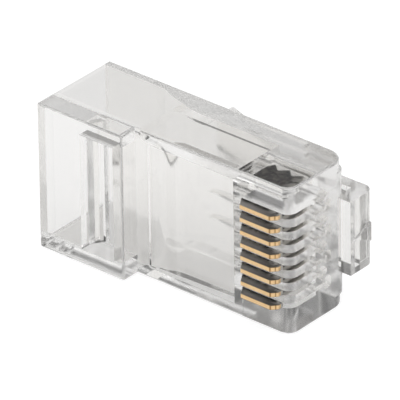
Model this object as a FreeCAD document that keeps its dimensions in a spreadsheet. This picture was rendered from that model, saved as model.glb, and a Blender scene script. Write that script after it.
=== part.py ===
import FreeCAD, Part
import os
import Sketcher

# Eight-contact modular plug for round cable, standing on one narrow side as in the photograph.
# X runs from the cable entry to the nose, Y from the contact face to the latch, Z across the plug.
# The sketches use X = 0 at the cable entry, Y = 0 at the contact face and Z = 0 at the side it stands
# on. Each body is then placed so that the middle of that side is the origin. Sizes are millimetres.

SIZES = [
    ("body_length", 21.8),
    ("body_width", 11.68),
    ("body_thickness", 6.4),
    ("collar_length", 7.85),
    ("collar_step", 1.5),
    ("nose_contact_radius", 0.9),
    ("nose_latch_radius", 1.5),
    ("edge_radius", 0.2),
    ("collar_edge_radius", 0.2),
    ("cavity_corner_radius", 0.35),
    ("contact_wall", 0.4),
    ("latch_wall", 0.48),
    ("side_wall", 0.45),
    ("rail_width", 0.85),
    ("rail_start", 8.5),
    ("rail_run", 0.6),
    ("bulkhead_to_nose", 5.05),
    ("ramp_start", 5.5),
    ("ramp_end", 9.5),
    ("ramp_bow", 0.25805),
    ("floor_level", 5.0),
    ("cheek_start", 7.9),
    ("cheek_end", 11.0),
    ("cheek_level", 4.1),
    ("cheek_margin", 1.0),
    ("lower_cheek_bow", 0.3),
    ("upper_cheek_bow", 0.2527),
    ("divider_level", 4.5),
    ("divider_thickness", 0.9),
    ("divider_length", 6.1),
    ("contact_pitch", 1.02),
    ("channel_radius", 0.5),
    ("channel_near_row", 3.9),
    ("channel_far_row", 4.5),
    ("nose_wall", 0.9),
    ("blade_thickness", 0.33),
    ("blade_proud", 0.77),
    ("blade_length", 3.54),
    ("blade_nose_gap", 0.76),
    ("blade_shoulder", 0.5),
    ("blade_shoulder_drop", 0.44),
    ("blade_shoulder_turn", 0.16),
    ("blade_neck_level", 0.15),
    ("blade_neck_step", 0.38),
    ("blade_back_slope", 0.47),
    ("blade_tip_level", 3.35),
    ("blade_root_level", 2.8),
    ("slot_clearance", 0.015),
    ("slot_nose_depth", 2.8),
    ("comb_sink", 0.04),
    ("bar_start", 9.7),
    ("bar_slit", 0.35),
    ("bar_side_slit", 0.15),
    ("bar_underside", 1.2),
    ("bar_crest_run", 1.9),
    ("bar_crest_level", 1.25),
    ("bar_turn_run", 0.9),
    ("bar_turn_level", 0.8),
    ("bar_hollow", 0.1),
    ("bar_swell", 0.11),
    ("bar_sink", 0.5),
    ("groove_start", 8.97),
    ("groove_width", 0.7),
    ("groove_depth", 0.18),
    ("window_start", 3.95),
    ("window_end", 7.0),
    ("window_margin", 1.2),
    ("anchor_thickness", 0.6),
    ("anchor_lip", 0.15),
    ("anchor_reach", 0.95),
    ("anchor_drop", 0.6),
    ("anchor_end_gap", 0.15),
    ("anchor_bow", 0.0465),
    ("latch_width", 5.9),
    ("latch_tail_width", 3.25),
    ("latch_shoulder_to_nose", 8.0),
    ("latch_thickness", 0.95),
    ("latch_root_depth", 1.1),
    ("latch_root_reach", 1.1),
    ("latch_gap", 0.55),
    ("latch_bend_radius", 0.8),
    ("latch_hinge_to_nose", 0.6),
    ("latch_hinge_gap", 0.03),
    ("latch_root_taper", 0.05),
    ("latch_crotch", 0.2),
    ("latch_flat", 1.2),
    ("latch_reach", 15.8),
    ("latch_lift", 5.6),
    ("latch_tip_radius", 0.4),
    ("latch_shoulder_depth", 0.35),
    ("gate_level", 5.65),
    ("gate_height", 1.5),
    ("gate_start", 5.55),
    ("gate_end", 7.35),
    ("gate_proud", 0.2),
    ("nose_rail", 0.95),
    ("nose_middle_radius", 1.1),
    ("overlap", 0.1),
]
CONTACTS = 8
PAIRS = 4
WIDTH = "Dims.body_width"
NOSE = "Dims.body_length"
BACK = "Dims.body_thickness"
BULKHEAD = "(Dims.body_length - Dims.bulkhead_to_nose)"
FIRST_CONTACT = "(Dims.body_width / 2 - 3.5 * Dims.contact_pitch)"
BLADE_FRONT = "(Dims.body_length - Dims.blade_nose_gap)"
BLADE_BACK = "(" + BLADE_FRONT + " - Dims.blade_length)"
OVERCUT = "1"

doc = FreeCAD.newDocument("modular_plug")
dims = doc.addObject("Spreadsheet::Sheet", "Dims")
for row, (name, size) in enumerate(SIZES, start=1):
    dims.set("A%d" % row, name)
    dims.set("B%d" % row, str(size))
    dims.setAlias("B%d" % row, name)
doc.recompute()


def measure(formula):
    """The present value in millimetres of a formula on the sheet."""
    return float(dims.evalExpression(formula))


def new_body(label):
    """A body whose own origin lies under the middle of the side that the plug stands on."""
    body = doc.addObject("PartDesign::Body", label)
    body.Label = label
    body.setExpression(".Placement.Base.x", "-Dims.body_length / 2")
    body.setExpression(".Placement.Base.y", "(Dims.collar_step - Dims.body_thickness) / 2")
    return body


def new_sketch(body, name, plane, offset):
    """An empty sketch on one of the body's own planes, moved along that plane's normal."""
    sketch = body.newObject("Sketcher::SketchObject", name)
    support = [item for item in body.Origin.OriginFeatures if item.Role == plane][0]
    sketch.AttachmentSupport = [(support, "")]
    sketch.MapMode = "FlatFace"
    sketch.setExpression(".AttachmentOffset.Base.z", offset)
    return sketch


def bowed_edge(start, end, bow):
    """An arc between two corners that stands out to the left of the way from start to end."""
    chord = end - start
    aside = FreeCAD.Vector(-chord.y, chord.x, 0).normalize()
    middle = start + chord * 0.5 + aside * bow
    return Part.Arc(start, middle, end)


def add_loop(sketch, corners, bows=None):
    """Draws a closed outline through the corners. An edge named in bows is an arc of that rise."""
    bows = bows or {}
    points = [FreeCAD.Vector(measure(c[0]), measure(c[1]), 0) for c in corners]
    first = sketch.GeometryCount
    ends = []
    for index, start in enumerate(points):
        end = points[(index + 1) % len(points)]
        if index in bows:
            rise = measure(bows[index])
            arc = bowed_edge(start, end, rise)
            sketch.addGeometry(arc)
            ends.append((2, 1) if rise > 0 else (1, 2))
        else:
            sketch.addGeometry(Part.LineSegment(start, end))
            ends.append((1, 2))
    for index, corner in enumerate(corners):
        edge = first + index
        follower = first + (index + 1) % len(corners)
        begin = ends[index][0]
        next_begin = ends[(index + 1) % len(corners)][0]
        finish = ends[index][1]
        sketch.addConstraint(Sketcher.Constraint("Coincident", edge, finish, follower, next_begin))
        across = sketch.addConstraint(
            Sketcher.Constraint("DistanceX", -1, 1, edge, begin, points[index].x))
        sketch.setExpression("Constraints[%d]" % across, corner[0])
        upward = sketch.addConstraint(
            Sketcher.Constraint("DistanceY", -1, 1, edge, begin, points[index].y))
        sketch.setExpression("Constraints[%d]" % upward, corner[1])
        if index in bows:
            after = corners[(index + 1) % len(corners)]
            run = "(%s) - (%s)" % (after[0], corner[0])
            climb = "(%s) - (%s)" % (after[1], corner[1])
            chord = "((%s)^2 + (%s)^2)" % (run, climb)
            radius = "(%s / 4 + (%s)^2) / (2 * abs(%s))" % (chord, bows[index], bows[index])
            held = sketch.addConstraint(Sketcher.Constraint("Radius", edge, measure(radius)))
            sketch.setExpression("Constraints[%d]" % held, radius)


def extrude(body, kind, name, plane, offset, length, loops, reverse=False):
    """A pad or pocket from closed outlines. Each outline is corners, or corners and its bows."""
    sketch = new_sketch(body, name + "_outline", plane, offset)
    for loop in loops:
        add_loop(sketch, loop[0], loop[1])
    feature = body.newObject("PartDesign::" + kind, name)
    feature.Profile = sketch
    feature.Reversed = reverse
    feature.setExpression("Length", length)
    doc.recompute()
    body.Tip = feature
    return feature


def box(x0, x1, y0, y1):
    """The four corners of a rectangle, with no bowed edge."""
    return [[(x0, y0), (x1, y0), (x1, y1), (x0, y1)], None]


def edges_where(feature, test):
    """Names of the edges whose two ends and middle all pass the test."""
    names = []
    for number, edge in enumerate(feature.Shape.Edges, start=1):
        points = [vertex.Point for vertex in edge.Vertexes]
        points.append(edge.valueAt((edge.FirstParameter + edge.LastParameter) / 2))
        if all(test(point) for point in points):
            names.append("Edge%d" % number)
    return names


def round_edges(body, name, feature, test, radius):
    """Rounds the edges that pass the test."""
    fillet = body.newObject("PartDesign::Fillet", name)
    fillet.Base = (feature, edges_where(feature, test))
    fillet.setExpression("Radius", radius)
    doc.recompute()
    body.Tip = fillet
    return fillet


def near(first, second):
    return abs(first - second) < 1e-4


def repeat(body, name, feature, count, pitch):
    """Repeats a feature across the plug."""
    pattern = body.newObject("PartDesign::LinearPattern", name)
    pattern.Originals = [feature]
    across = [item for item in body.Origin.OriginFeatures if item.Role == "Z_Axis"][0]
    pattern.Direction = (across, [""])
    pattern.setExpression("Length", "%d * %s" % (count - 1, pitch))
    pattern.Occurrences = count
    doc.recompute()
    body.Tip = pattern
    return pattern


# Housing: one clear moulding with the collar, the comb, the cable cavity and the latch root.
housing = new_body("housing")
outer = extrude(housing, "Pad", "outer_block", "XY_Plane", "0", WIDTH, [[[
    ("0", "-Dims.collar_step"),
    ("Dims.collar_length", "-Dims.collar_step"),
    ("Dims.collar_length", "0"),
    (NOSE, "0"),
    (NOSE, BACK),
    ("0", BACK)], None]])
length = measure(NOSE)
thickness = measure(BACK)
width = measure(WIDTH)
step = measure("Dims.collar_step")
collar = measure("Dims.collar_length")
outer = round_edges(housing, "nose_contact_corner", outer,
                    lambda p: near(p.x, length) and near(p.y, 0), "Dims.nose_contact_radius")
outer = round_edges(housing, "nose_latch_corner", outer,
                    lambda p: near(p.x, length) and near(p.y, thickness), "Dims.nose_latch_radius")
outer = round_edges(housing, "collar_corners", outer,
                    lambda p: near(p.y, -step) and (near(p.x, 0) or near(p.x, collar)),
                    "Dims.collar_edge_radius")
outer = round_edges(housing, "long_edges", outer,
                    lambda p: (near(p.z, 0) or near(p.z, width)) and p.x > 0.01,
                    "Dims.edge_radius")

# Cable cavity: open at the back, its side walls growing thicker beside the pressure bar.
cavity = extrude(housing, "Pocket", "cable_cavity", "XZ_Plane", "-Dims.contact_wall",
        BACK + " - Dims.latch_wall - Dims.contact_wall", [[[
            ("-" + OVERCUT, "Dims.side_wall"),
            ("Dims.rail_start - Dims.rail_run", "Dims.side_wall"),
            ("Dims.rail_start", "Dims.rail_width"),
            (BULKHEAD, "Dims.rail_width"),
            (BULKHEAD, WIDTH + " - Dims.rail_width"),
            ("Dims.rail_start", WIDTH + " - Dims.rail_width"),
            ("Dims.rail_start - Dims.rail_run", WIDTH + " - Dims.side_wall"),
            ("-" + OVERCUT, WIDTH + " - Dims.side_wall")], None]])
entry = measure("Dims.rail_start - Dims.rail_run")
side_wall = measure("Dims.side_wall")
round_edges(housing, "cavity_corners", cavity,
            lambda p: p.x < entry + 0.01 and (near(p.z, side_wall) or near(p.z, width - side_wall))
            and near(p.y, measure("Dims.contact_wall")), "Dims.cavity_corner_radius")

# The floor under the conductors climbs from the latch wall to the channels.
extrude(housing, "Pad", "floor_ramp", "XY_Plane", "Dims.side_wall / 2",
        WIDTH + " - Dims.side_wall", [[[
            ("Dims.ramp_start", BACK + " - Dims.latch_wall / 2"),
            ("Dims.ramp_start", BACK + " - Dims.latch_wall"),
            ("Dims.ramp_end", "Dims.floor_level"),
            (BULKHEAD + " + Dims.overlap", "Dims.floor_level"),
            (BULKHEAD + " + Dims.overlap", BACK + " - Dims.latch_wall / 2")],
            {1: "-Dims.ramp_bow"}]])

# Curved cheeks lead the outer conductors in to the channels.
for side in ("lower", "upper"):
    mirror = "" if side == "lower" else WIDTH + " - "
    bow = "Dims.lower_cheek_bow" if side == "lower" else "-Dims.upper_cheek_bow"
    extrude(housing, "Pad", side + "_cheek", "XZ_Plane", "Dims.latch_wall / 2 - " + BACK,
            BACK + " - Dims.latch_wall / 2 - Dims.cheek_level", [[[
                ("Dims.cheek_start", mirror + "Dims.side_wall"),
                ("Dims.cheek_end", mirror + "Dims.cheek_margin"),
                (BULKHEAD + " + Dims.overlap", mirror + "Dims.cheek_margin"),
                (BULKHEAD + " + Dims.overlap", mirror + "Dims.side_wall / 2"),
                ("Dims.cheek_start", mirror + "Dims.side_wall / 2")], {0: bow}]])

# Wedge-shaped dividers part the four pairs.
wedges = []
for gap in range(1, PAIRS):
    middle = "(%s + %s * Dims.contact_pitch)" % (FIRST_CONTACT, 2 * gap - 0.5)
    wedges.append([[
        (BULKHEAD + " - Dims.divider_length", middle),
        (BULKHEAD + " + Dims.overlap", middle + " - Dims.divider_thickness / 2"),
        (BULKHEAD + " + Dims.overlap", middle + " + Dims.divider_thickness / 2")], None])
extrude(housing, "Pad", "dividers", "XZ_Plane", "-(Dims.floor_level + Dims.overlap)",
        "Dims.floor_level + Dims.overlap - Dims.divider_level", wedges)

# The channels are bored from the bulkhead, in two staggered rows of four.
for row, start, level in (("far_row", 0, "Dims.channel_far_row"),
                          ("near_row", 1, "Dims.channel_near_row")):
    sketch = new_sketch(housing, row + "_outline", "YZ_Plane", BULKHEAD + " - 0.01")
    for pair in range(PAIRS):
        centre = "(%s + %d * Dims.contact_pitch)" % (FIRST_CONTACT, 2 * pair + start)
        ring = sketch.addGeometry(Part.Circle(
            FreeCAD.Vector(measure(level), measure(centre), 0), FreeCAD.Vector(0, 0, 1),
            measure("Dims.channel_radius")))
        for kind, formula in (("DistanceX", level), ("DistanceY", centre)):
            held = sketch.addConstraint(Sketcher.Constraint(kind, -1, 1, ring, 3, measure(formula)))
            sketch.setExpression("Constraints[%d]" % held, formula)
        held = sketch.addConstraint(Sketcher.Constraint("Radius", ring, measure("Dims.channel_radius")))
        sketch.setExpression("Constraints[%d]" % held, "Dims.channel_radius")
    bore = housing.newObject("PartDesign::Pocket", row)
    bore.Profile = sketch
    bore.Reversed = True
    bore.setExpression("Length", "Dims.bulkhead_to_nose - Dims.nose_wall + 0.01")
    doc.recompute()
    housing.Tip = bore

# Pressure bar: a lens-shaped flap in the contact wall, hinged behind and slit on its other sides.
BAR_END = "(" + BULKHEAD + " - Dims.bar_slit)"
BAR_WIDTH = WIDTH + " - 2 * Dims.rail_width"
extrude(housing, "Pad", "pressure_bar", "XY_Plane", "Dims.rail_width", BAR_WIDTH, [[[
    ("Dims.bar_start", "Dims.contact_wall"),
    ("Dims.bar_start", "Dims.contact_wall / 2"),
    (BAR_END, "Dims.contact_wall / 2"),
    (BAR_END, "Dims.bar_underside"),
    ("Dims.bar_start + Dims.bar_crest_run", "Dims.bar_crest_level"),
    ("Dims.bar_start + Dims.bar_turn_run", "Dims.bar_turn_level")],
    {4: "-Dims.bar_swell", 5: "Dims.bar_hollow"}]])
extrude(housing, "Pocket", "bar_sinking", "XY_Plane", WIDTH + " - Dims.rail_width", BAR_WIDTH, [[[
    ("Dims.groove_start + Dims.groove_width", "-" + OVERCUT),
    (BULKHEAD, "-" + OVERCUT),
    (BULKHEAD, "Dims.bar_sink"),
    ("Dims.groove_start + Dims.groove_width", "Dims.groove_depth")], None]])
extrude(housing, "Pocket", "hinge_groove", "XY_Plane", WIDTH + " - Dims.rail_width", BAR_WIDTH, [box(
    "Dims.groove_start", "Dims.groove_start + Dims.groove_width",
    "-" + OVERCUT, "Dims.groove_depth")])
BAR_UNDER = "Dims.bar_crest_level + Dims.overlap"
extrude(housing, "Pocket", "bar_slits", "XZ_Plane", OVERCUT, OVERCUT + " + " + BAR_UNDER, [[[
    ("Dims.bar_start", "Dims.rail_width"),
    (BULKHEAD, "Dims.rail_width"),
    (BULKHEAD, WIDTH + " - Dims.rail_width"),
    ("Dims.bar_start", WIDTH + " - Dims.rail_width"),
    ("Dims.bar_start", WIDTH + " - Dims.rail_width - Dims.bar_side_slit"),
    (BAR_END, WIDTH + " - Dims.rail_width - Dims.bar_side_slit"),
    (BAR_END, "Dims.rail_width + Dims.bar_side_slit"),
    ("Dims.bar_start", "Dims.rail_width + Dims.bar_side_slit")], None]])

# Jacket window in the collar, with the anchor flap hinged at its rear edge.
extrude(housing, "Pocket", "jacket_window", "XZ_Plane", "Dims.collar_step + " + OVERCUT,
        "Dims.collar_step + 2 * " + OVERCUT, [box(
            "Dims.window_start", "Dims.window_end",
            "Dims.window_margin", WIDTH + " - Dims.window_margin")])
extrude(housing, "Pad", "anchor_flap", "XY_Plane", "Dims.window_margin + Dims.anchor_end_gap",
        WIDTH + " - 2 * Dims.window_margin - 2 * Dims.anchor_end_gap", [[[
            ("Dims.window_start - Dims.overlap", "-Dims.collar_step + Dims.anchor_drop"),
            ("Dims.window_start + Dims.anchor_lip", "-Dims.collar_step + Dims.anchor_drop"),
            ("Dims.window_start + Dims.anchor_reach", "Dims.contact_wall"),
            ("Dims.window_start + Dims.anchor_reach - Dims.anchor_thickness", "Dims.contact_wall"),
            ("Dims.window_start - Dims.overlap",
             "-Dims.collar_step + Dims.anchor_drop + Dims.anchor_thickness")],
            {1: "Dims.anchor_bow"}]])

# The comb's face is set back a hair's breadth from the bulkhead's, where the mould's insert met it.
extrude(housing, "Pocket", "comb_face", "XY_Plane", WIDTH + " + " + OVERCUT,
        WIDTH + " + 2 * " + OVERCUT, [box(
            BLADE_BACK, NOSE + " + " + OVERCUT, "-" + OVERCUT, "Dims.comb_sink")])

# Blade slots: through to the channels behind, and open in the nose for the mating contacts.
CHANNEL_BED = "(Dims.channel_near_row + Dims.channel_radius)"
slot = extrude(housing, "Pocket", "blade_slot", "XY_Plane",
               FIRST_CONTACT + " + Dims.blade_thickness / 2 + Dims.slot_clearance",
               "Dims.blade_thickness + 2 * Dims.slot_clearance", [[[
                   (BLADE_BACK, "-" + OVERCUT),
                   (NOSE + " + " + OVERCUT, "-" + OVERCUT),
                   (NOSE + " + " + OVERCUT, "Dims.slot_nose_depth"),
                   (BLADE_FRONT + " + Dims.slot_clearance", "Dims.slot_nose_depth"),
                   (BLADE_FRONT + " + Dims.slot_clearance", CHANNEL_BED),
                   (BLADE_BACK + " - Dims.slot_clearance", CHANNEL_BED),
                   (BLADE_BACK + " - Dims.slot_clearance", "0")], None]])
repeat(housing, "blade_slots", slot, CONTACTS, "Dims.contact_pitch")

# Between the rails the nose's latch-side edge is fuller than at its two ends.
extrude(housing, "Pad", "nose_middle", "XY_Plane", "Dims.nose_rail", WIDTH + " - 2 * Dims.nose_rail", [[[
    (NOSE + " - Dims.nose_latch_radius", BACK + " - Dims.nose_latch_radius"),
    (NOSE, BACK + " - Dims.nose_latch_radius"),
    (NOSE, BACK + " - Dims.nose_middle_radius"),
    (NOSE + " - Dims.nose_middle_radius", BACK),
    (NOSE + " - Dims.nose_latch_radius", BACK)],
    {2: "-Dims.nose_middle_radius * (1 - sqrt(2) / 2)"}]])

# Latch root: the wide strip leaves the nose wall and turns back over the body.
BEND_FRONT = NOSE + " + Dims.latch_root_reach"
LATCH_INNER = "(Dims.body_thickness + Dims.latch_gap)"
LATCH_OUTER = "(" + LATCH_INNER + " + Dims.latch_thickness)"
HINGE_X = NOSE + " - Dims.latch_hinge_to_nose"
root = extrude(housing, "Pad", "latch_root", "XY_Plane", "(" + WIDTH + " - Dims.latch_width) / 2",
               "Dims.latch_width", [[[
                   (NOSE + " - Dims.nose_latch_radius", BACK + " - Dims.latch_root_depth"),
                   (BEND_FRONT, BACK + " - Dims.latch_root_depth"),
                   (BEND_FRONT, LATCH_OUTER + " + Dims.latch_root_taper"),
                   (HINGE_X, LATCH_OUTER),
                   (HINGE_X, LATCH_INNER),
                   (NOSE + " - Dims.latch_crotch", LATCH_INNER),
                   (NOSE + " - Dims.latch_crotch", BACK),
                   (NOSE + " - Dims.nose_latch_radius", BACK)], None]])
front = measure(BEND_FRONT)
outer_level = measure(LATCH_OUTER + " + Dims.latch_root_taper")
round_edges(housing, "latch_bend", root,
            lambda p: near(p.x, front) and near(p.y, outer_level), "Dims.latch_bend_radius")

# The gate, where the melt came in, was snapped off and left a small proud wedge on the bend.
extrude(housing, "Pad", "gate_mark", "YZ_Plane", BEND_FRONT + " - Dims.overlap",
        "Dims.overlap + Dims.gate_proud", [[[
            ("Dims.gate_start", "Dims.gate_level"),
            ("Dims.gate_end", "Dims.gate_level - Dims.gate_height / 2"),
            ("Dims.gate_end", "Dims.gate_level + Dims.gate_height / 2")], None]])

# Latch: the moving arm, divided from the root across its living hinge by a hairline gap.
latch = new_body("latch")
TIP_INNER = "(" + LATCH_INNER + " + Dims.latch_lift - Dims.latch_thickness)"
FLAT_END = "(" + HINGE_X + " - Dims.latch_flat)"
SHOULDER = "(" + NOSE + " - Dims.latch_shoulder_to_nose)"
LATCH_TIP = "(" + NOSE + " - Dims.latch_reach)"
SLOPE = "((Dims.latch_lift - Dims.latch_thickness) / (" + FLAT_END + " - " + LATCH_TIP + "))"
extrude(latch, "Pad", "arm", "XY_Plane", "(" + WIDTH + " - Dims.latch_width) / 2", "Dims.latch_width", [[[
    (HINGE_X + " - Dims.latch_hinge_gap", LATCH_INNER),
    (HINGE_X + " - Dims.latch_hinge_gap", LATCH_OUTER),
    (FLAT_END, LATCH_OUTER),
    (SHOULDER, LATCH_OUTER + " + (" + FLAT_END + " - " + SHOULDER + ") * " + SLOPE),
    (SHOULDER, LATCH_INNER + " + (" + FLAT_END + " - " + SHOULDER + ") * " + SLOPE
     + " - Dims.latch_shoulder_depth"),
    (FLAT_END, LATCH_INNER)], None]])
tail = extrude(latch, "Pad", "tail", "XY_Plane", "(" + WIDTH + " - Dims.latch_tail_width) / 2",
               "Dims.latch_tail_width", [[[
                   (FLAT_END, LATCH_INNER + " + Dims.overlap"),
                   (FLAT_END, LATCH_OUTER),
                   (LATCH_TIP, TIP_INNER + " + Dims.latch_thickness"),
                   (LATCH_TIP, TIP_INNER)], None]])
tip = measure(LATCH_TIP)
round_edges(latch, "tail_tip", tail, lambda p: near(p.x, tip), "Dims.latch_tip_radius")

# Contact blades: stamped, three-pronged, pressed part of the way into their slots.
BLADE_STEM = "(" + BLADE_FRONT + " - Dims.blade_neck_step)"
PRONG = "((" + BLADE_STEM + " - " + BLADE_BACK + ") / 5)"
blades = []
for number in range(1, CONTACTS + 1):
    blade = new_body("contact_%d" % number)
    level = "(%s + %d * Dims.contact_pitch)" % (FIRST_CONTACT, CONTACTS - number)
    corners = [
        (BLADE_BACK, "0"),
        (BLADE_BACK + " + Dims.blade_back_slope", "-Dims.blade_proud"),
        (BLADE_FRONT + " - Dims.blade_shoulder", "-Dims.blade_proud"),
        (BLADE_FRONT + " - Dims.blade_shoulder + Dims.blade_shoulder_turn",
         "-Dims.blade_proud + Dims.blade_shoulder_turn / 3"),
        (BLADE_FRONT, "-Dims.blade_proud + Dims.blade_shoulder_drop"),
        (BLADE_FRONT, "Dims.blade_neck_level"),
        (BLADE_STEM, "Dims.blade_neck_level + Dims.blade_neck_step"),
        (BLADE_STEM, "Dims.blade_root_level")]
    for prong in (4, 2, 0):
        corners.append((BLADE_STEM + " - %s * %s" % (4.5 - prong, PRONG), "Dims.blade_tip_level"))
        if prong:
            corners.append((BLADE_STEM + " - %s * %s" % (5.5 - prong, PRONG), "Dims.blade_root_level"))
    corners.append((BLADE_BACK, "Dims.blade_root_level"))
    extrude(blade, "Pad", "blade_%d" % number, "XY_Plane", level + " - Dims.blade_thickness / 2",
            "Dims.blade_thickness", [[corners, None]])
    blades.append(blade)

doc.recompute()
for item in doc.Objects:
    if "Invalid" in item.State or "Error" in item.State:
        raise RuntimeError("%s did not compute: %s" % (item.Name, item.State))

os.makedirs("parts", exist_ok=True)
for node in [housing, latch] + blades:
    if node.Shape.isNull() or not node.Shape.isValid():
        raise RuntimeError("%s has no valid solid" % node.Label)
    print(node.Label, len(node.Shape.Solids), round(node.Shape.Volume, 3), node.Shape.BoundBox)
    node.Shape.exportStep("parts/%s.step" % node.Label)
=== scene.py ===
import math

import bmesh
import bpy
from mathutils import Matrix, Vector


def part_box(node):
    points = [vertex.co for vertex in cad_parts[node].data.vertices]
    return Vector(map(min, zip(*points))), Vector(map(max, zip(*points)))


# Sizes are in metres. X runs from the cable's entry to the nose, Y from the contact face to the
# latch, and Z up from the narrow side that the plug stands on.
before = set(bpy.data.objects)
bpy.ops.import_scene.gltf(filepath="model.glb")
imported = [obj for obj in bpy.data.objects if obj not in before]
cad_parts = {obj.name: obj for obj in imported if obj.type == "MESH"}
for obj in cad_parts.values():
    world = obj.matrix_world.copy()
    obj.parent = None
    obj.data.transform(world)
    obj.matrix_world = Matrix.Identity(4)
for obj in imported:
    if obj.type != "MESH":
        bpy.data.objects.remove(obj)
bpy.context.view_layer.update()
scene = bpy.context.scene
scene.view_settings.view_transform = "Standard"

# Light runs along the clear walls and is turned back many times before it leaves them.
light_turns = 48
scene.cycles.max_bounces = light_turns
scene.cycles.transmission_bounces = light_turns
scene.cycles.glossy_bounces = light_turns


# Camera: a long lens above the table, looking down at the contact face and the nose.
# Its place was fitted to the straight edges of the plug in the photograph.
look_azimuth = math.radians(40.55)
look_elevation = math.radians(29.94)
look_roll = math.radians(-0.87)
look_target = Vector((-0.0002, 0.00085, 0.00584))
look_distance = 0.5955
moved_right = 0.00015
moved_down = 0.0003
lens_in_pixels = 8489.1
picture_in_pixels = 400
sensor_width = 36
nearest_seen = 0.05
farthest_seen = 20

look_back = Vector((
    math.sin(look_azimuth) * math.cos(look_elevation),
    -math.cos(look_azimuth) * math.cos(look_elevation),
    math.sin(look_elevation)))
look_right = Vector((0, 0, 1)).cross(look_back).normalized()
look_up = look_back.cross(look_right)
look_turn = Matrix.Rotation(look_roll, 3, look_back)
look_right = look_turn @ look_right
look_up = look_turn @ look_up

camera_data = bpy.data.cameras.new("camera")
camera_data.sensor_width = sensor_width
camera_data.lens = lens_in_pixels / picture_in_pixels * sensor_width
camera_data.clip_start = nearest_seen
camera_data.clip_end = farthest_seen
camera = bpy.data.objects.new("camera", camera_data)
scene.collection.objects.link(camera)
camera_turn = Matrix((look_right, look_up, look_back)).transposed().to_4x4()
camera_place = (look_target + look_back * look_distance
                + look_right * moved_right - look_up * moved_down)
camera.matrix_world = Matrix.Translation(camera_place) @ camera_turn
scene.camera = camera


# Table: a plain white sheet under the plug. Most of its white is its own, for every ray that
# looks at it, and the rest is the light of the lamp, so that it keeps the plug's shadow.
table_drop = 0.00004
table_width = 1.2
table_paper = 0.36
table_white = 0.82
table_seen_through = 0.61


def white_glow(nodes, links):
    """The sheet's own white: full to the camera, and less in metal and through plastic."""
    path = nodes.new("ShaderNodeLightPath")
    through = nodes.new("ShaderNodeMath")
    through.operation = "MAXIMUM"
    links.new(path.outputs["Is Glossy Ray"], through.inputs[0])
    links.new(path.outputs["Is Transmission Ray"], through.inputs[1])
    dimmed = nodes.new("ShaderNodeMath")
    dimmed.operation = "MULTIPLY"
    dimmed.inputs[1].default_value = table_seen_through
    links.new(through.outputs[0], dimmed.inputs[0])
    glow = nodes.new("ShaderNodeMath")
    glow.operation = "MULTIPLY_ADD"
    glow.inputs[1].default_value = table_white
    links.new(path.outputs["Is Camera Ray"], glow.inputs[0])
    links.new(dimmed.outputs[0], glow.inputs[2])
    return glow.outputs[0]


def white_sheet():
    """Matt white paper with a white of its own added."""
    sheet = bpy.data.materials.new("white_sheet")
    sheet.use_nodes = True
    nodes, links = sheet.node_tree.nodes, sheet.node_tree.links
    nodes.clear()
    paper = nodes.new("ShaderNodeBsdfDiffuse")
    paper.inputs["Color"].default_value = (table_paper, table_paper, table_paper, 1)
    white = nodes.new("ShaderNodeEmission")
    links.new(white_glow(nodes, links), white.inputs["Strength"])
    both = nodes.new("ShaderNodeAddShader")
    links.new(paper.outputs[0], both.inputs[0])
    links.new(white.outputs[0], both.inputs[1])
    output = nodes.new("ShaderNodeOutputMaterial")
    links.new(both.outputs[0], output.inputs["Surface"])
    return sheet


table_mesh = bpy.data.meshes.new("table")
table_shape = bmesh.new()
bmesh.ops.create_grid(table_shape, x_segments=1, y_segments=1, size=table_width / 2)
bmesh.ops.translate(table_shape, vec=(0, 0, -table_drop), verts=table_shape.verts)
table_shape.to_mesh(table_mesh)
table_shape.free()
table = bpy.data.objects.new("table", table_mesh)
scene.collection.objects.link(table)
table_mesh.materials.append(white_sheet())


# Studio: a plain pale room, bright overhead and on the camera's side, dim beyond the plug and
# dark at its left and right ends. A reach is how far a look points along a direction.
room_top = 0.95
room_near_wall = 1.0
room_far_wall = 0.23
room_far_foot = 0.90
room_side_wall = 0.08
near_wall_reach = -0.7
far_wall_reach = 0.7
foot_end_height = 0.15
wall_start_height = 0.35
side_start_reach = 0.35
side_end_reach = 0.75
wall_end_height = 0.55
top_start_height = 0.75

world = bpy.data.worlds.new("studio")
world.use_nodes = True
scene.world = world
room = world.node_tree
room.nodes.clear()
room_output = room.nodes.new("ShaderNodeOutputWorld")
room_light = room.nodes.new("ShaderNodeBackground")
room.links.new(room_light.outputs[0], room_output.inputs["Surface"])
room_place = room.nodes.new("ShaderNodeTexCoord")
room_axes = room.nodes.new("ShaderNodeSeparateXYZ")
room.links.new(room_place.outputs["Generated"], room_axes.inputs[0])


def room_reach(direction):
    """How far a look into the room points along a direction, from -1 to 1."""
    toward = room.nodes.new("ShaderNodeVectorMath")
    toward.operation = "DOT_PRODUCT"
    toward.inputs[1].default_value = direction
    room.links.new(room_place.outputs["Generated"], toward.inputs[0])
    return toward.outputs["Value"]


def room_blend(reach, start, end, first, second):
    """Goes softly from one brightness to another between two values of a reach."""
    rise = room.nodes.new("ShaderNodeMapRange")
    rise.interpolation_type = "SMOOTHSTEP"
    rise.inputs["From Min"].default_value = start
    rise.inputs["From Max"].default_value = end
    room.links.new(reach, rise.inputs["Value"])
    blend = room.nodes.new("ShaderNodeMix")
    blend.data_type = "FLOAT"
    room.links.new(rise.outputs["Result"], blend.inputs["Factor"])
    for socket, value in (("A", first), ("B", second)):
        if isinstance(value, float):
            blend.inputs[socket].default_value = value
        else:
            room.links.new(value, blend.inputs[socket])
    return blend.outputs["Result"]


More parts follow.
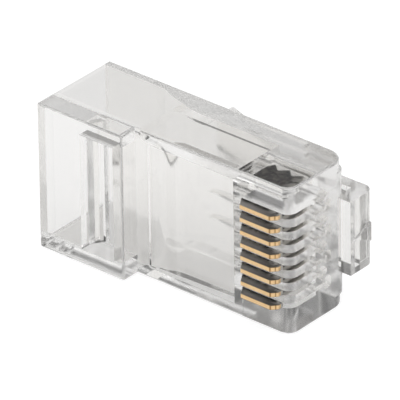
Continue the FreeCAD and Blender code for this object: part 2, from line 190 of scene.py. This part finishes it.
height = room_axes.outputs["Z"]
ahead = room_reach(Vector((-look_back.x, -look_back.y, 0)).normalized())
aside = room.nodes.new("ShaderNodeMath")
aside.operation = "ABSOLUTE"
room.links.new(room_reach(Vector((look_right.x, look_right.y, 0)).normalized()), aside.inputs[0])
room_walls = room_blend(ahead, near_wall_reach, far_wall_reach, room_near_wall, room_far_wall)
room_foot = room_blend(ahead, near_wall_reach, far_wall_reach, room_near_wall, room_far_foot)
room_lower = room_blend(height, foot_end_height, wall_start_height, room_foot, room_walls)
room_sided = room_blend(aside.outputs[0], side_start_reach, side_end_reach, room_lower, room_side_wall)
room_whole = room_blend(height, wall_end_height, top_start_height, room_sided, room_top)
room.links.new(room_whole, room_light.inputs["Color"])


# Lamp: one large square soft box overhead, turned to the plug.
lamp_place = Vector((0.1, 0.0, 0.65))
lamp_aim = Vector((0, 0, 0.005))
lamp_width = 0.9
lamp_watts = 1.5

lamp_data = bpy.data.lights.new("overhead_lamp", "AREA")
lamp_data.shape = "SQUARE"
lamp_data.size = lamp_width
lamp_data.energy = lamp_watts
lamp = bpy.data.objects.new("overhead_lamp", lamp_data)
scene.collection.objects.link(lamp)
lamp_turn = (lamp_aim - lamp_place).to_track_quat("-Z", "Y")
lamp.matrix_world = Matrix.Translation(lamp_place) @ lamp_turn.to_matrix().to_4x4()


# Housing and latch: clear polycarbonate, injection-moulded in one shot. The skin is glossy, with
# faint flow ripples from the mould, a little haze from handling, and a duller nose.
plastic_deep = (0.955, 0.948, 0.936, 1)
plastic_thin = (0.980, 0.973, 0.960, 1)
plastic_refraction = 1.58
flow_scale = 260
flow_detail = 2
haze_scale = 700
haze_detail = 4
haze_start = 0.4
haze_end = 0.7
haze_low = 0.05
haze_high = 0.11
nose_start = 0.0035
nose_end = 0.0065
nose_haze = 0.045
ripple_strength = 0.05
ripple_depth = 0.00012


def moulded_skin():
    """Node group: the faint ripples and haze that a mould leaves on a glossy plastic."""
    skin = bpy.data.node_groups.new("moulded_skin", "ShaderNodeTree")
    for name, direction in (("Flow Scale", "INPUT"), ("Haze Scale", "INPUT"),
                            ("Flow", "OUTPUT"), ("Haze", "OUTPUT")):
        skin.interface.new_socket(name=name, socket_type="NodeSocketFloat", in_out=direction)
    nodes, links = skin.nodes, skin.links
    scales = nodes.new("NodeGroupInput")
    result = nodes.new("NodeGroupOutput")
    place = nodes.new("ShaderNodeTexCoord")
    flow = nodes.new("ShaderNodeTexNoise")
    flow.inputs["Detail"].default_value = flow_detail
    links.new(place.outputs["Object"], flow.inputs["Vector"])
    links.new(scales.outputs["Flow Scale"], flow.inputs["Scale"])
    links.new(flow.outputs["Fac"], result.inputs["Flow"])
    haze = nodes.new("ShaderNodeTexNoise")
    haze.inputs["Detail"].default_value = haze_detail
    links.new(place.outputs["Object"], haze.inputs["Vector"])
    links.new(scales.outputs["Haze Scale"], haze.inputs["Scale"])
    rubbed = nodes.new("ShaderNodeMapRange")
    rubbed.inputs["From Min"].default_value = haze_start
    rubbed.inputs["From Max"].default_value = haze_end
    links.new(haze.outputs["Fac"], rubbed.inputs["Value"])
    links.new(rubbed.outputs["Result"], result.inputs["Haze"])
    return skin


def nose_dulling(nodes, links):
    """What the nose's duller skin adds to the roughness, rising along the plug."""
    place = nodes.new("ShaderNodeTexCoord")
    axes = nodes.new("ShaderNodeSeparateXYZ")
    links.new(place.outputs["Object"], axes.inputs[0])
    dulling = nodes.new("ShaderNodeMapRange")
    dulling.inputs["From Min"].default_value = nose_start
    dulling.inputs["From Max"].default_value = nose_end
    dulling.inputs["To Max"].default_value = nose_haze
    links.new(axes.outputs["X"], dulling.inputs["Value"])
    return dulling.outputs["Result"]


def clear_polycarbonate():
    """Clear plastic that bends the light, with the mould's skin on it."""
    clear = bpy.data.materials.new("clear_polycarbonate")
    clear.use_nodes = True
    nodes, links = clear.node_tree.nodes, clear.node_tree.links
    plastic = nodes["Principled BSDF"]
    plastic.inputs["Transmission Weight"].default_value = 1.0
    plastic.inputs["IOR"].default_value = plastic_refraction
    skin = nodes.new("ShaderNodeGroup")
    skin.node_tree = moulded_skin()
    skin.inputs["Flow Scale"].default_value = flow_scale
    skin.inputs["Haze Scale"].default_value = haze_scale
    tint = nodes.new("ShaderNodeValToRGB")
    tint.color_ramp.elements[0].color = plastic_deep
    tint.color_ramp.elements[1].color = plastic_thin
    links.new(skin.outputs["Flow"], tint.inputs[0])
    links.new(tint.outputs["Color"], plastic.inputs["Base Color"])
    polish = nodes.new("ShaderNodeMapRange")
    polish.inputs["To Min"].default_value = haze_low
    polish.inputs["To Max"].default_value = haze_high
    links.new(skin.outputs["Haze"], polish.inputs["Value"])
    dulled = nodes.new("ShaderNodeMath")
    dulled.operation = "ADD"
    links.new(polish.outputs["Result"], dulled.inputs[0])
    links.new(nose_dulling(nodes, links), dulled.inputs[1])
    links.new(dulled.outputs[0], plastic.inputs["Roughness"])
    ripple = nodes.new("ShaderNodeBump")
    ripple.inputs["Strength"].default_value = ripple_strength
    ripple.inputs["Distance"].default_value = ripple_depth
    links.new(skin.outputs["Flow"], ripple.inputs["Height"])
    links.new(ripple.outputs["Normal"], plastic.inputs["Normal"])
    return clear


polycarbonate = clear_polycarbonate()
for moulding in ("housing", "latch"):
    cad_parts[moulding].data.materials.clear()
    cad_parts[moulding].data.materials.append(polycarbonate)


# Contacts: eight blades stamped from bronze strip, plated dull nickel all over and then gold on
# the proud edges alone, where the jack's springs meet them. Inside the comb their sides are
# painted near black as shade, and they stand proud until the crimping tool drives them home.
blade_count = 8
first_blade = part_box("contact_1")
last_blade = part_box("contact_%d" % blade_count)
blade_pitch = (last_blade[0].z - first_blade[0].z) / (blade_count - 1)
blade_middle = (first_blade[0].z + last_blade[1].z) / 2
blade_edge = first_blade[0].y
blade_back = first_blade[0].x
blade_nose = first_blade[1].x
gold_line = blade_edge + 0.00070
gold_fade = 0.00006
# Painted shade: between these the nickel sides fade into the near black of the comb's painted shade.
comb_shade_line = blade_edge + 0.00072
comb_shade_fade = 0.00040
shoulder_line = blade_nose - 0.00042
shoulder_width = 0.00012
nose_line = blade_nose - 0.00014
nose_width = 0.00006
corner_start = 0.125
corner_end = 0.165
nose_shade_end = blade_nose - 0.00034
pale_start = blade_nose - 0.00114
pale_blotch_start = 0.36
pale_blotch_end = 0.52
blotch_start = 0.44
blotch_end = 0.62
broad_side = 0.8
sheared_side = 0.6
gold_deep = (0.80, 0.51, 0.24, 1)
gold_light = (0.97, 0.74, 0.45, 1)
# Painted shade: the dark of two thin lines across the gold edge near the nose.
painted_line_shade = (0.46, 0.38, 0.30, 1)
corner_shade = (0.36, 0.30, 0.26, 1)
nickel_deep = (0.26, 0.25, 0.24, 1)
nickel_light = (0.56, 0.54, 0.52, 1)
# Painted shade: the nickel sides darken toward the nose.
nickel_shaded = (0.34, 0.33, 0.32, 1)
# Painted shade: the sides inside the comb are near black, pale in blotches near the nose.
comb_shade_deep = (0.014, 0.012, 0.011, 1)
comb_shade_light = (0.150, 0.135, 0.120, 1)
comb_shade_pale = (0.70, 0.68, 0.65, 1)
sheared_edge = (0.62, 0.60, 0.57, 1)
stain_scale = 900
stain_detail = 5
blotch_scale = 2200
blotch_detail = 3
wear_low = 0.22
wear_high = 0.42
drawn_strength = 0.1
drawn_depth = 0.00002

bronze = bpy.data.materials.new("plated_bronze")
bronze.use_nodes = True
metal_nodes = bronze.node_tree.nodes
metal_links = bronze.node_tree.links


def metal_rise(value, start, end):
    """A mask that goes from none to full between two values."""
    rise = metal_nodes.new("ShaderNodeMapRange")
    rise.inputs["From Min"].default_value = start
    rise.inputs["From Max"].default_value = end
    metal_links.new(value, rise.inputs["Value"])
    return rise.outputs["Result"]


def metal_sum(operation, first, second=0.0):
    """One sum on masks and numbers."""
    result = metal_nodes.new("ShaderNodeMath")
    result.operation = operation
    for socket, value in ((0, first), (1, second)):
        if isinstance(value, float):
            result.inputs[socket].default_value = value
        else:
            metal_links.new(value, result.inputs[socket])
    return result.outputs[0]


def metal_line(value, place, width):
    """A mask that is full within half a width of a place."""
    line = metal_nodes.new("ShaderNodeMath")
    line.operation = "COMPARE"
    line.inputs[1].default_value = place
    line.inputs[2].default_value = width / 2
    metal_links.new(value, line.inputs[0])
    return line.outputs[0]


def metal_noise(scale, detail):
    """Cloudy variation over the metal."""
    noise = metal_nodes.new("ShaderNodeTexNoise")
    noise.inputs["Scale"].default_value = scale
    noise.inputs["Detail"].default_value = detail
    metal_links.new(metal_place.outputs["Object"], noise.inputs["Vector"])
    return noise.outputs["Fac"]


def metal_colours(value, deep, light):
    """A run of colours from deep to light."""
    run = metal_nodes.new("ShaderNodeValToRGB")
    run.color_ramp.elements[0].color = deep
    run.color_ramp.elements[1].color = light
    metal_links.new(value, run.inputs[0])
    return run.outputs["Color"]


def metal_cover(mask, under, over, kind="MIX"):
    """Lays one colour over another where the mask is full."""
    cover = metal_nodes.new("ShaderNodeMix")
    cover.data_type = "RGBA"
    cover.blend_type = kind
    metal_links.new(mask, cover.inputs["Factor"])
    for socket, value in (("A", under), ("B", over)):
        if isinstance(value, tuple):
            cover.inputs[socket].default_value = value
        else:
            metal_links.new(value, cover.inputs[socket])
    return cover.outputs["Result"]


metal_place = metal_nodes.new("ShaderNodeTexCoord")
metal_axes = metal_nodes.new("ShaderNodeSeparateXYZ")
metal_links.new(metal_place.outputs["Object"], metal_axes.inputs[0])
metal_facing = metal_nodes.new("ShaderNodeSeparateXYZ")
metal_links.new(metal_place.outputs["Normal"], metal_facing.inputs[0])
along, out, across = metal_axes.outputs
stain = metal_noise(stain_scale, stain_detail)
blotch = metal_noise(blotch_scale, blotch_detail)

# Where on the blade: its sheared edge, its proud part, its two corners, and how near the nose.
sheared = metal_rise(metal_sum("ABSOLUTE", metal_facing.outputs["Z"]), broad_side, sheared_side)
proud = metal_rise(out, gold_line, gold_line - gold_fade)
# Clear of the comb's painted shade near the proud edge, and in it deeper.
clear_of_shade = metal_rise(out, comb_shade_line, comb_shade_line - comb_shade_fade)
rows = metal_sum("DIVIDE", metal_sum("SUBTRACT", across, blade_middle), blade_pitch)
off_middle = metal_sum("SUBTRACT", metal_sum("FRACT", rows), 0.5)
# The gold edge's two corners, where shade is painted.
shaded_corners = metal_rise(metal_sum("ABSOLUTE", off_middle), corner_start, corner_end)
# Painted shade on the nickel, rising toward the nose.
nose_shade = metal_rise(along, blade_back, nose_shade_end)
pale = metal_sum("MULTIPLY", metal_rise(along, pale_start, nose_shade_end),
                 metal_rise(blotch, pale_blotch_start, pale_blotch_end))
# Two thin lines across the gold near the nose, where shade is painted.
shaded_lines = metal_sum("MAXIMUM", metal_line(along, shoulder_line, shoulder_width),
                    metal_line(along, nose_line, nose_width))

# The gold edge with two thin lines and its two corners darkened as painted shade, the nickel
# sides darkened toward the nose as painted shade, and the part inside the comb painted near black as
# shade.
gold = metal_colours(stain, gold_deep, gold_light)
gold = metal_cover(shaded_lines, gold, painted_line_shade, "MULTIPLY")
gold = metal_cover(shaded_corners, gold, corner_shade, "MULTIPLY")
nickel = metal_colours(stain, nickel_deep, nickel_light)
nickel = metal_cover(nose_shade, nickel, nickel_shaded, "MULTIPLY")
comb_shade = metal_colours(metal_rise(blotch, blotch_start, blotch_end), comb_shade_deep, comb_shade_light)
comb_shade = metal_cover(pale, comb_shade, comb_shade_pale)
broad = metal_cover(clear_of_shade, comb_shade, nickel)
edge = metal_cover(proud, sheared_edge, gold)

metal = metal_nodes["Principled BSDF"]
metal.inputs["Metallic"].default_value = 1.0
metal_links.new(metal_cover(sheared, broad, edge), metal.inputs["Base Color"])
worn = metal_nodes.new("ShaderNodeMapRange")
worn.inputs["To Min"].default_value = wear_low
worn.inputs["To Max"].default_value = wear_high
metal_links.new(stain, worn.inputs["Value"])
metal_links.new(worn.outputs["Result"], metal.inputs["Roughness"])
drawn = metal_nodes.new("ShaderNodeBump")
drawn.inputs["Strength"].default_value = drawn_strength
drawn.inputs["Distance"].default_value = drawn_depth
metal_links.new(stain, drawn.inputs["Height"])
metal_links.new(drawn.outputs["Normal"], metal.inputs["Normal"])

for number in range(1, blade_count + 1):
    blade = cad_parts["contact_%d" % number]
    blade.data.materials.clear()
    blade.data.materials.append(bronze)
